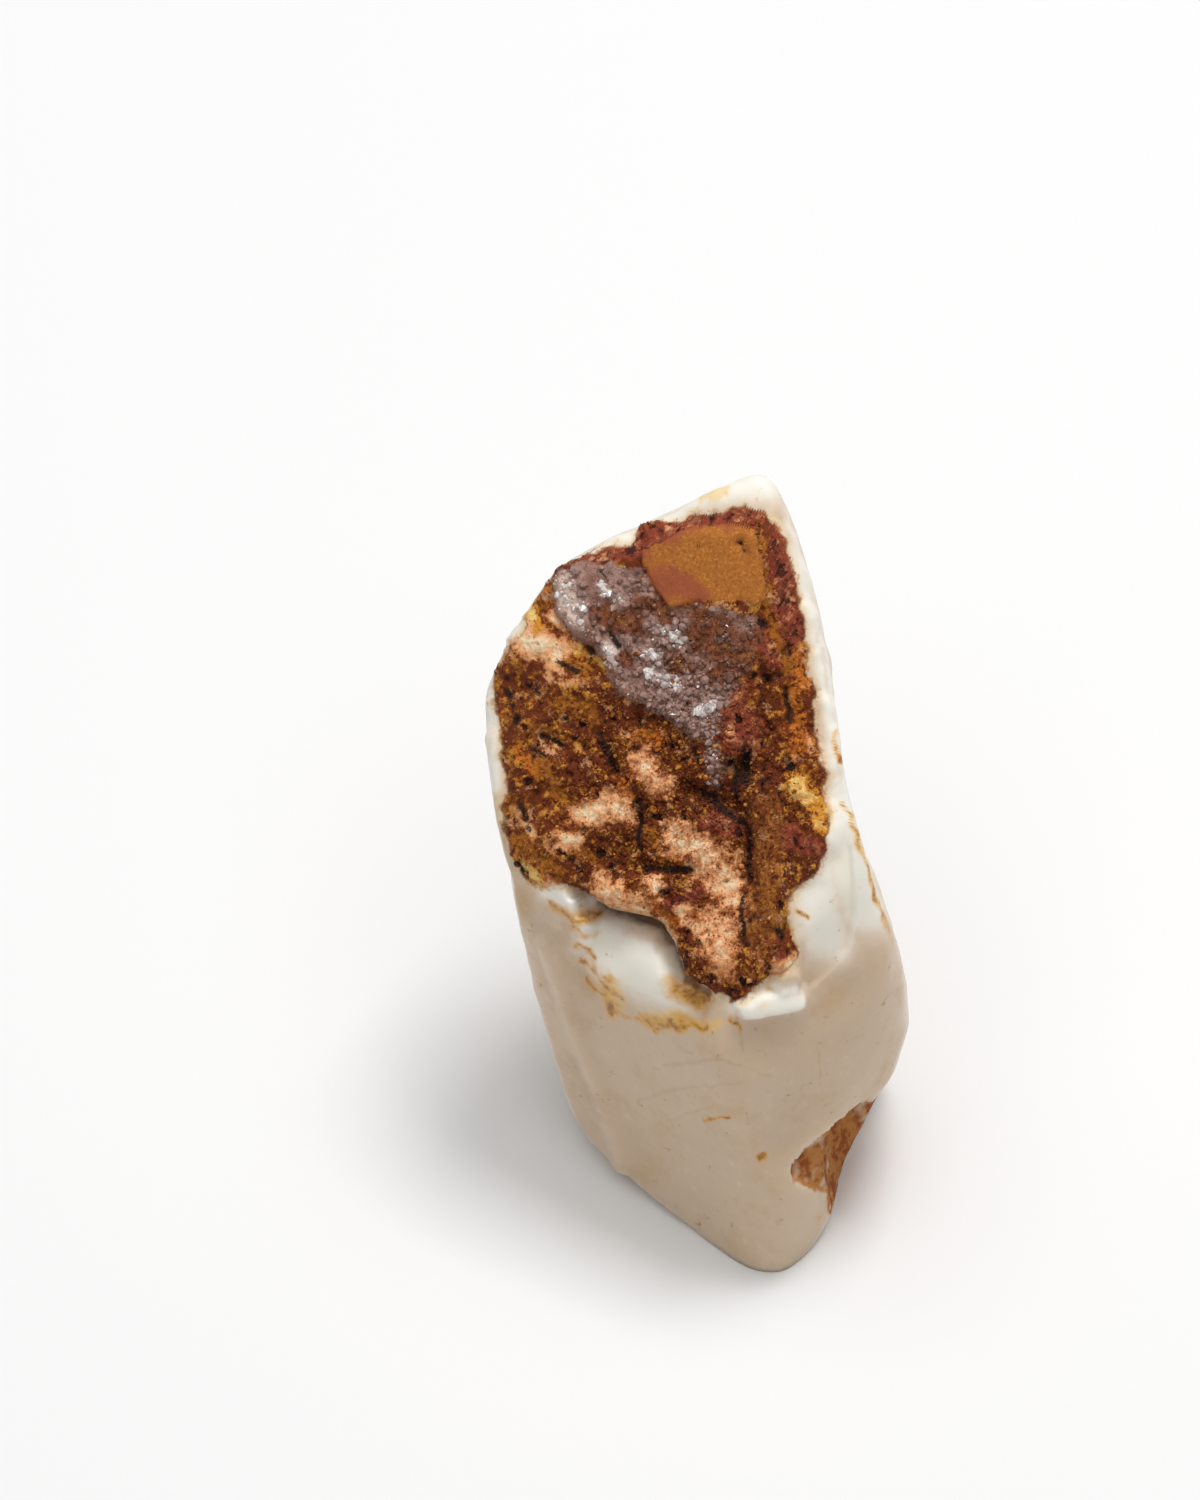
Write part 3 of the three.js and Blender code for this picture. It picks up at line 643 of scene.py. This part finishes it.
def crystal_shape():
    """Corners and faces of a quartz point: a six-sided prism with a six-sided tip and a closed foot."""
    half_width, shoulder, foot = 0.36, 0.6, -0.1
    k = np.arange(6)
    n = (k + 1) % 6
    turn = k * np.pi / 3
    ring = np.stack([np.cos(turn), np.sin(turn), np.zeros(6)], 1) * half_width
    corners = np.vstack([ring, ring + (0, 0, shoulder), [(0, 0, 1), (0, 0, foot)]])
    faces = np.vstack([
        np.stack([k, n, n + 6], 1), np.stack([k, n + 6, k + 6], 1),
        np.stack([k + 6, n + 6, np.full(6, 12)], 1), np.stack([n, k, np.full(6, 13)], 1)])
    return corners, faces


def block_points():
    """Points, normals and zones of the finished block, in mm."""
    def read(items, name, width):
        values = np.zeros(len(items) * width, np.float32)
        items.foreach_get(name, values)
        return values.reshape(-1, width)

    mesh = bpy.data.objects["opal_block"].data
    zones = {zone: read(mesh.attributes[zone].data, "value", 1)[:, 0] for zone in ZONES}
    return read(mesh.vertices, "co", 3) / MM, read(mesh.vertex_normals, "vector", 3), zones


# Materials

# Width in mm, detail and roughness of the grain patterns: healed cracks, clouds, clumps of crumbs, single
# grains, limonite dust. Real dust is finer than 0.05 mm; it is drawn at 0.22 mm so that it shows.
PATTERNS = {
    "crack": (9, 3, 0.5), "cloud": (4, 3, 0.7), "clump": (1.2, 6, 0.7), "grit": (0.35, 4, 0.7),
    "dust": (0.22, 3, 0.7),
}

# Layers of colour over a ground: paint, zone, grain pattern, how restless the pattern makes the zone, the
# strengths at which the cover starts and is full, the share of the ground that it hides.
OPAL_LAYERS = (  # clouds, milky white with painted light on the lit faces, faint threads, stains from yellow to brown, painted shadow under the lip, skin, rust in the notch
    ("#d0ac80", "all", "cloud", 1.6, 0, 0.3, 0.35),
    ("#b8966c", "all", "clump", 2.4, 0.1, 0.6, 0.25),
    ("#f4e6d2", "all", "clump", -2.4, 0.1, 0.6, 0.25),
    ("#c19a5e", "tan", "cloud", 1.6, 0, 1.2, 0.45),
    ("milk_white", "white", "cloud", 0.6, 0.05, 0.9),
    ("#8f6a40", "all", "grit", 3, 0.75, 1.1, 0.25),
    ("#b98d5e", "faint", "clump", 1.8, 0.3, 1.4, 0.3),
    ("#efd8a8", "bleed", "clump", 2.4, 0.45, 1.1, 0.65),
    ("#c97f30", "bleed", "grit", 1.8, 0.75, 1.2, 0.8),
    ("#f0c873", "yellow", "clump", 1.6, 0.1, 0.9, 0.6),
    ("#e2a63a", "stain", "clump", 1.2, 0.15, 1.1, 0.85),
    ("#8e4a0c", "stain", "clump", 2.4, 0.7, 1.4, 0.85),
    # painted shadow under the lip, partly brown staining
    ("#7a4a22", "under", "clump", 1.2, 0.15, 0.9, 0.75),
    ("#b98d5e", "thread", "cloud", 2.8, 0.6, 1.3, 0.45),
    ("#d9b47c", "skin", "cloud", 1.8, 0.2, 0.7, 0.7),
    ("#9a5a22", "skin", "clump", 2.8, 0.6, 1, 0.85),
    ("#5c2a0c", "skin", "grit", 2.4, 1.05, 1.4, 0.8),
    ("#d08a44", "rust", "clump", 1.2, 0.3, 0.6),
    ("#a04c12", "rust", "clump", 3.6, 0.75, 1.25, 0.9),
    ("#ecd0ac", "rust", "cloud", -3.6, 1, 1.5, 0.8),
)
CRUST_LAYERS = (  # golden limonite and tan on the tops as a painted highlight, painted shade between, then orange, red, gold, pale and yellow places
    ("#451704", "all", "clump", 2.4, 0, 0.4, 0.88),
    ("limonite_gold", "hill", "speckle", 4, 0.52, 0.9, 0.88),
    ("#dc9c3c", "hill", "speckle", 4, 0.82, 1.15, 0.88),
    ("cleft_dark", "low", "clump", 2.4, 0.6, 0.9, 0.9),
    ("cleft_dark", "low", "grit", 3, 0.75, 1.05, 0.85),
    ("#d87a20", "orange", "grit", 3.4, 0.45, 1, 0.85),
    ("ironstone_red", "red", "grit", 1.2, 0.2, 0.7, 0.85),
    ("#c98660", "red", "speckle", 3, 0.8, 1.3, 0.5),
    ("#3a1208", "red", "low", 1.4, 0.8, 1.2, 0.85),
    ("#b06a16", "gold", "grit", 3.4, 0.5, 1.05, 0.85),
    ("#c87038", "pale", "clump", 2.4, 0.1, 0.5, 0.85),
    ("pale_knob", "pale", "clump", 3.6, 0.2, 0.75, 0.95),
    ("#b8683a", "pale", "grit", 3.4, 1, 1.4, 0.6),
    ("#ffe4ba", "pale", "clump", 2.6, 0.75, 1.2, 0.95),
    ("#e8992c", "yellow", "grit", 2.6, 0.3, 0.8, 0.9),
    ("#ffd884", "yellow", "clump", 3.4, 0.6, 1.2, 0.95),
    ("cleft_dark", "dark", "grit", 2.6, 0.4, 0.9, 0.92),
)
OCHRE_LAYERS = (  # powder, redder where the red strokes run, with painted shade in its holes and clefts
    ("#74421a", "all", "dust", 2.4, 0.05, 0.4, 0.55),
    ("#d49a44", "all", "dust", -2.4, 0.05, 0.4, 0.5),
    ("#8a5620", "all", "clump", 2.4, 0.1, 0.6, 0.5),
    ("#9a4a30", "red", "clump", 1.8, 0, 0.9, 0.8),
    ("cleft_dark", "dark", "grit", 0.8, 0.4, 0.9),
)
QUARTZ_LAYERS = (  # sugary lilac grey with brown dirt between the crystals, painted glints and painted shade in holes
    ("#8a5a46", "all", "cloud", 2.4, 0, 0.3, 0.85),
    ("#74503f", "all", "grit", 2, 0, 0.3, 0.7),
    ("#e8cdbc", "glint", "grit", 1.8, 0.3, 1, 0.9),
    ("#84431f", "dirt", "clump", 1.6, 0.15, 0.6, 0.95),
    ("#b8761c", "dirt", "grit", 2, 0.9, 1.2, 0.7),
    ("cleft_dark", "dark", "grit", 0.8, 0.4, 0.9),
)
POINT_LAYERS = (  # quartz points, each of its own tone, clear and lighter as a painted glint where they glint, and dirty in patches
    ("#80594a", "all", "grain", 1, 0, 0.4, 0.8),
    ("quartz_clear", "glint", "grain", 0.8, 0.4, 0.9),
    ("#7c4a30", "dirt", "patch", 1.2, 0.15, 0.6, 0.92),
)


def add_node(tree, kind, inputs=(), out=0, **settings):
    """Adds one shader node, sets its settings, fills its inputs with numbers or other nodes' outputs, and
    gives one of its outputs."""
    node = tree.nodes.new("ShaderNode" + kind)
    for name, value in settings.items():
        setattr(node, name, value)
    for name, value in dict(inputs).items():
        if isinstance(value, bpy.types.NodeSocket):
            tree.links.new(value, node.inputs[name])
        else:
            node.inputs[name].default_value = value
    return node.outputs[out] if node.outputs else None


def new_material(name):
    """A new material, what adds a node to its empty tree, and the place on the piece as a first output."""
    material = bpy.data.materials.new(name)
    material.use_nodes = True
    material.node_tree.nodes.clear()
    add = partial(add_node, material.node_tree)
    return material, add, add("TexCoord", out="Object")


def lay_over(add, ground, paint, zone, grain, unrest, low, high, share=1.0):
    """One layer of colour: it covers where the zone's strength, made restless by a grain pattern, rises from
    low to high, and there it hides `share` of the ground. Gives the new colour and the cover."""
    strength = add("Math", {0: grain, 1: unrest, 2: zone}, operation="MULTIPLY_ADD")
    low, high = low + unrest / 2, high + unrest / 2
    cover = add("MapRange", {0: strength, 1: low, 2: high, 4: share}, interpolation_type="SMOOTHSTEP")
    return add("Mix", {0: cover, 6: ground, 7: paint}, out=2, data_type="RGBA"), cover


def layers(add, colours, ground, rows, field):
    """Layers of colour over a ground in turn. A paint is a hex value or names one of the settings' colours,
    and zones and patterns are looked up by name."""
    def paint(tone):
        return (*(linear(tone) if tone[0] == "#" else getattr(colours, tone)), 1)

    colour = paint(ground)
    for tone, zone, grain, *numbers in rows:
        colour, _ = lay_over(add, colour, paint(tone), field[zone], field[grain], *numbers)
    return colour


def zone_strengths(add, names):
    """The piece's own zone strengths by name, and a zone that isn't marked anywhere."""
    return {"all": 0.0, **{z: add("Attribute", out="Fac", attribute_name=z) for z in names}}


def opal_and_ironstone(colours):
    """Milky common opal, broken along shell-shaped faces: waxy gloss over a milky depth that glows at thin
    edges. Its weathered ironstone crust is dry, rough and crumbly, so light only comes back from the tops
    of its grains: its colour is lighter there as a painted highlight and darker between as painted shade.
    One surface carries both, told apart by the piece's own zone strengths."""
    material, add, place = new_material("common opal with weathered ironstone crust")
    field = zone_strengths(add, ZONES)
    for name, (mm, detail, roughness) in PATTERNS.items():
        field[name] = add("TexNoise", {
            "Vector": place, "Scale": 1 / (mm * MM), "Detail": detail, "Roughness": roughness})
    speckle = -0.1
    for name, share in (("grit", 0.6), ("clump", 0.3), ("grain", 0.25)):
        speckle = add("Math", {0: field[name], 1: share, 2: speckle}, operation="MULTIPLY_ADD")
    field["speckle"] = speckle
    # Painted shade goes where the crust is low, between its crumbs.
    field["low"] = add("Math", {0: 1.0, 1: field["hill"]}, operation="SUBTRACT")

    # The break under the shoulder is rusty where the ball that scooped it reaches, with an edge 0.5 mm soft.
    *middle, reach, _ = SCOOPS[0]
    middle = tuple((MIDDLE + middle) * MM)
    away = add("VectorMath", {0: place, 1: middle}, out="Value", operation="DISTANCE")
    notch = add("MapRange", {0: away, 1: (reach + 0.5) * MM, 2: reach * MM})
    field["rust"] = add("Math", {0: notch, 1: field["rust"]}, operation="MAXIMUM")
    # Healed cracks are threads along the middle heights of their pattern, on the sides that EYE doesn't see.
    thread = add("Math", {0: field["crack"], 1: 0.5}, operation="SUBTRACT")
    thread = add("Math", {0: thread}, operation="ABSOLUTE")
    thread = add("Math", {0: thread, 1: -40.0, 2: 1.0}, operation="MULTIPLY_ADD", use_clamp=True)
    field["thread"] = add("Math", {0: thread, 1: field["hidden"]}, operation="MULTIPLY")

    opal, crust, ochre, quartz = (
        layers(add, colours, ground, rows, field)
        for ground, rows in (("bone_beige", OPAL_LAYERS), ("ironstone", CRUST_LAYERS),
                             ("ochre_earth", OCHRE_LAYERS), ("lilac_quartz", QUARTZ_LAYERS)))
    colour, is_crust = lay_over(add, opal, crust, field["crust"], field["clump"], 1.2, 0.35, 0.7)
    colour, is_quartz = lay_over(add, colour, quartz, field["druse"], field["clump"], 2.6, 0.3, 0.8)
    colour, is_ochre = lay_over(add, colour, ochre, field["ochre"], field["grit"], 0.9, 0.35, 0.65)

    dry = add("Math", {0: is_crust, 1: field["rust"]}, operation="MAXIMUM")
    sums = []
    for total, *parts in (
        (0.75, (dry, -0.75)),  # light that sinks in: milky opal, none where it is dry
        (0.36, (dry, 0.5), (is_quartz, -0.5)),  # roughness: waxy opal, dry crust, glassy quartz
        (field["grit"], (field["dust"], 0.35)),  # height of grit and dust
        (0.03, (dry, 0.96), (is_ochre, -0.7)),  # share of that height: smooth opal, crumbly crust, fine ochre
    ):
        for part, share in parts:
            total = add("Math", {0: part, 1: share, 2: total}, operation="MULTIPLY_ADD")
        sums.append(total)
    milky, rough, relief, depth = sums
    relief = add("Math", {0: relief, 1: depth}, operation="MULTIPLY")
    bump = add("Bump", {"Strength": 1.0, "Distance": 0.22 * MM, "Height": relief})
    shader = add("BsdfPrincipled", {
        "Base Color": colour, "Roughness": rough, "IOR": 1.45, "Normal": bump, "Subsurface Weight": milky,
        "Subsurface Radius": (1.0, 1.0, 1.0), "Subsurface Scale": 2.0 * MM})
    add("OutputMaterial", {"Surface": shader})
    return material


def drusy_quartz(colours):
    """Quartz grown as a crust of tiny points: glassy faces that glint one by one, over a milky body."""
    material, add, place = new_material("drusy quartz, as grown")
    field = zone_strengths(add, ("grain", "dirt", "glint"))
    # Brown dirt sits between the points in patches about 1.2 mm wide.
    field["patch"] = add("TexNoise", {"Vector": place, "Scale": 1 / (1.2 * MM), "Detail": 3})
    tone = layers(add, colours, "#b89488", POINT_LAYERS, field)
    shader = add("BsdfPrincipled", {
        "Base Color": tone, "Roughness": 0.14, "IOR": 1.54, "Transmission Weight": 0.2})
    add("OutputMaterial", {"Surface": shader})
    return material


def matt_floor(floor_colour):
    """Matt paper: even and pale, with a trace of tooth."""
    material, add, place = new_material("matt white paper")
    # Paper tooth about 0.5 mm wide.
    tooth = add("TexNoise", {"Vector": place, "Scale": 1 / (0.5 * MM), "Detail": 2})
    bump = add("Bump", {"Strength": 0.1, "Distance": 0.05 * MM, "Height": tooth})
    shader = add("BsdfPrincipled", {"Base Color": (*floor_colour, 1), "Roughness": 0.9, "Normal": bump})
    add("OutputMaterial", {"Surface": shader})
    return material


# Operators

LEAST_CRUST = 0.45  # strength of the crust below which no stone lies on it
STONE_ZONES = {"druse": 0, "ochre": 0, "pale": 0.6, "yellow": 0.6}  # share of a zone that colours its stones
CORNERS, STRETCHES = (0.6, 1.15), (0.6, 1.2)  # how far a stone's corners are moved, and its sides stretched
SINKS = (-0.15, 0.25)  # how far its middle stands out of the crust, in stone sizes
FLOOR = 3  # metres from the middle of the floor to its sides


class OPAL_OT_block(bpy.types.Operator):
    """Builds the opal block with its crust"""

    bl_idname = "opal.block"
    bl_label = "Opal block"

    def execute(self, context):
        s = context.scene.opal_block
        points, number, zones = stone_surface(s.fineness, s.crumb_size / MM, s.crumb_height / MM)
        piece = new_piece("opal_block", points, grid_faces(number), zones, opal_and_ironstone(s), True)
        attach(piece, "root")
        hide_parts("boulder_opal")
        return {"FINISHED"}


def joined(stones, faces):
    """Points and faces of many stones as one mesh: each stone's corners follow the last one's."""
    count, corners, _ = stones.shape
    return stones.reshape(-1, 3), (np.arange(count)[:, None, None] * corners + faces).reshape(-1, 3)


def strew(name, count, least, most, shape, seed, keep_off):
    """Strews stones over the crust and joins them into one piece: the start shape's corners are moved in and
    out, stretched and turned at random for each stone, and small stones are the commonest. `keep_off` says
    how far each zone keeps them away."""
    points, normals, zones = block_points()
    rng = np.random.default_rng(seed)
    chance = np.clip(zones["crust"] - LEAST_CRUST, 0, 1)
    for zone, share in keep_off.items():
        chance = chance * (1 - share * np.clip(zones[zone], 0, 1))
    host = rng.choice(len(points), count, p=chance / chance.sum())
    size = least + (most - least) * rng.random(count) ** 2.5
    corners, faces = shape
    n = len(corners)
    stones = corners[None] * rng.uniform(*CORNERS, (count, n, 1)) * rng.uniform(*STRETCHES, (count, 1, 3))
    stones = np.einsum("nij,nkj->nki", random_turns(rng, count), stones) * size[:, None, None] / 2
    place = points[host] + normals[host] * (size * rng.uniform(*SINKS, count))[:, None]
    place += rng.normal(scale=0.06, size=place.shape)
    corner_zones = {z: np.repeat(v[host], n) for z, v in zones.items()}
    corner_zones["grain"] = np.repeat(rng.random(count), n)
    corner_zones["crust"][:] = 1
    for zone, share in STONE_ZONES.items():
        corner_zones[zone] *= share
    material = bpy.data.objects["opal_block"].data.materials[0]
    piece = new_piece(name, *joined(place[:, None] + stones, faces), corner_zones, material, False)
    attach(piece, "root")


class OPAL_OT_crumbs(bpy.types.Operator):
    """Strews ironstone crumbs and fine limonite grains over the rough parts of the crust"""

    bl_idname = "opal.crumbs"
    bl_label = "Ironstone crumbs and grains"

    def execute(self, context):
        s = context.scene.opal_grains
        strew("ironstone_crumbs", s.crumbs, s.crumb_least / MM, s.crumb_most / MM, crumb_shape(), s.seed,
              {"ochre": 1.0, "druse": 0.9, "pale": 0.95, "yellow": 0.9})
        strew("limonite_grains", s.grains, s.grain_least / MM, s.grain_most / MM, grain_shape(), s.seed + 2,
              {"ochre": 1.0, "druse": 0.85, "pale": 0.75, "yellow": 0.8})
        return {"FINISHED"}


class OPAL_OT_crystals(bpy.types.Operator):
    """Grows quartz points over the druse"""

    bl_idname = "opal.crystals"
    bl_label = "Quartz druse"

    def execute(self, context):
        s = context.scene.opal_grains
        points, normals, zones = block_points()
        rng = np.random.default_rng(s.seed + 1)
        chance = np.clip(zones["druse"] - 0.5, 0, 1) * (1 - zones["dark"]) * (0.4 + zones["glint"])
        host = rng.choice(len(points), s.crystals, p=chance / chance.sum())
        least, most = s.crystal_least / MM, s.crystal_most / MM
        size = least + (most - least) * rng.random(s.crystals) ** 3
        axis = unit(normals[host] + rng.normal(scale=0.55, size=(s.crystals, 3)))
        across = unit(np.cross(axis, rng.normal(size=(s.crystals, 3))))
        turn = np.stack([across, np.cross(axis, across), axis], 2)
        corners, faces = crystal_shape()
        n = len(corners)
        shape = np.einsum("nij,nkj->nki", turn, corners[None] * rng.uniform(0.7, 1.3, (s.crystals, 1, 3)))
        place = points[host] - normals[host] * (0.45 * size)[:, None]
        corner_zones = {"grain": np.repeat(rng.random(s.crystals), n)}
        for zone in ("dirt", "glint"):
            corner_zones[zone] = np.repeat(zones[zone][host], n)
        points, faces = joined(place[:, None] + shape * size[:, None, None], faces)
        piece = new_piece("quartz_druse", points, faces, corner_zones, drusy_quartz(s), False)
        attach(piece, "root")
        return {"FINISHED"}


class OPAL_OT_stage(bpy.types.Operator):
    """Sets up the floor, the lights and the camera"""

    bl_idname = "opal.stage"
    bl_label = "Stage"

    def execute(self, context):
        scene = context.scene
        s = scene.opal_stage
        floor_mesh = bpy.data.meshes.new("floor")
        corners = [(x * FLOOR, y * FLOOR, 0) for x, y in ((-1, -1), (1, -1), (1, 1), (-1, 1))]
        floor_mesh.from_pydata(corners, [], [(0, 1, 2, 3)])
        floor_mesh.materials.append(matt_floor(s.floor_colour))
        floor = put_in_scene("floor", floor_mesh)

        for name, place, aim, size, watts in (
            ("key softbox", (0.15, 0.24, 0.84), (0, 0, 0.02), 0.26, s.key_power),
            ("top softbox", (0, 0, 1.1), (0, 0, 0), 1.4, s.top_power),
        ):
            light = bpy.data.lights.new(name, "AREA")
            light.size = size
            light.energy = watts
            lamp = put_in_scene(name, light)
            lamp.location = place
            lamp.rotation_euler = Vector(np.subtract(place, aim)).to_track_quat("Z", "Y").to_euler()

        world = bpy.data.worlds.new("room light")
        world.use_nodes = True
        even_light = world.node_tree.nodes["Background"].inputs
        even_light["Color"].default_value = (1, 1, 1, 1)
        even_light["Strength"].default_value = s.fill
        scene.world = world
        scene.view_settings.view_transform = "Standard"

        lens = bpy.data.cameras.new("camera")
        lens.sensor_fit = "VERTICAL"
        lens.sensor_height = SENSOR
        lens.lens = LENS
        lens.clip_start, lens.clip_end = 0.01, 20
        camera = put_in_scene("camera", lens)
        camera.location = tuple(EYE * MM)
        camera.rotation_euler = (radians(90) - SIGHT, 0, 0)
        scene.camera = camera
        return {"FINISHED"}


class OPAL_PT_sidebar(bpy.types.Panel):
    """Lists the stone's settings and its operators"""

    bl_idname = "OPAL_PT_sidebar"
    bl_label = "Boulder opal"
    bl_space_type = "VIEW_3D"
    bl_region_type = "UI"
    bl_category = "Opal"

    def draw(self, context):
        for group, operators in (
            ("opal_block", ("opal.block",)),
            ("opal_grains", ("opal.crumbs", "opal.crystals")),
            ("opal_stage", ("opal.stage",)),
        ):
            box = self.layout.box()
            settings = getattr(context.scene, group)
            for name in settings.__annotations__:
                box.prop(settings, name)
            for operator in operators:
                box.operator(operator)


SETTINGS = {
    "opal_block": OpalBlockSettings, "opal_grains": OpalGrainSettings, "opal_stage": OpalStageSettings,
}
CLASSES = (
    *SETTINGS.values(), OPAL_OT_block, OPAL_OT_crumbs, OPAL_OT_crystals, OPAL_OT_stage, OPAL_PT_sidebar,
)


def register():
    for cls in CLASSES:
        bpy.utils.register_class(cls)
    for name, group in SETTINGS.items():
        setattr(bpy.types.Scene, name, bpy.props.PointerProperty(type=group))


def unregister():
    for name in SETTINGS:
        delattr(bpy.types.Scene, name)
    for cls in reversed(CLASSES):
        bpy.utils.unregister_class(cls)


def main():
    register()
    bpy.ops.opal.stage()
    bpy.ops.opal.block()
    bpy.ops.opal.crumbs()
    bpy.ops.opal.crystals()


if __name__ == "__main__":
    main()
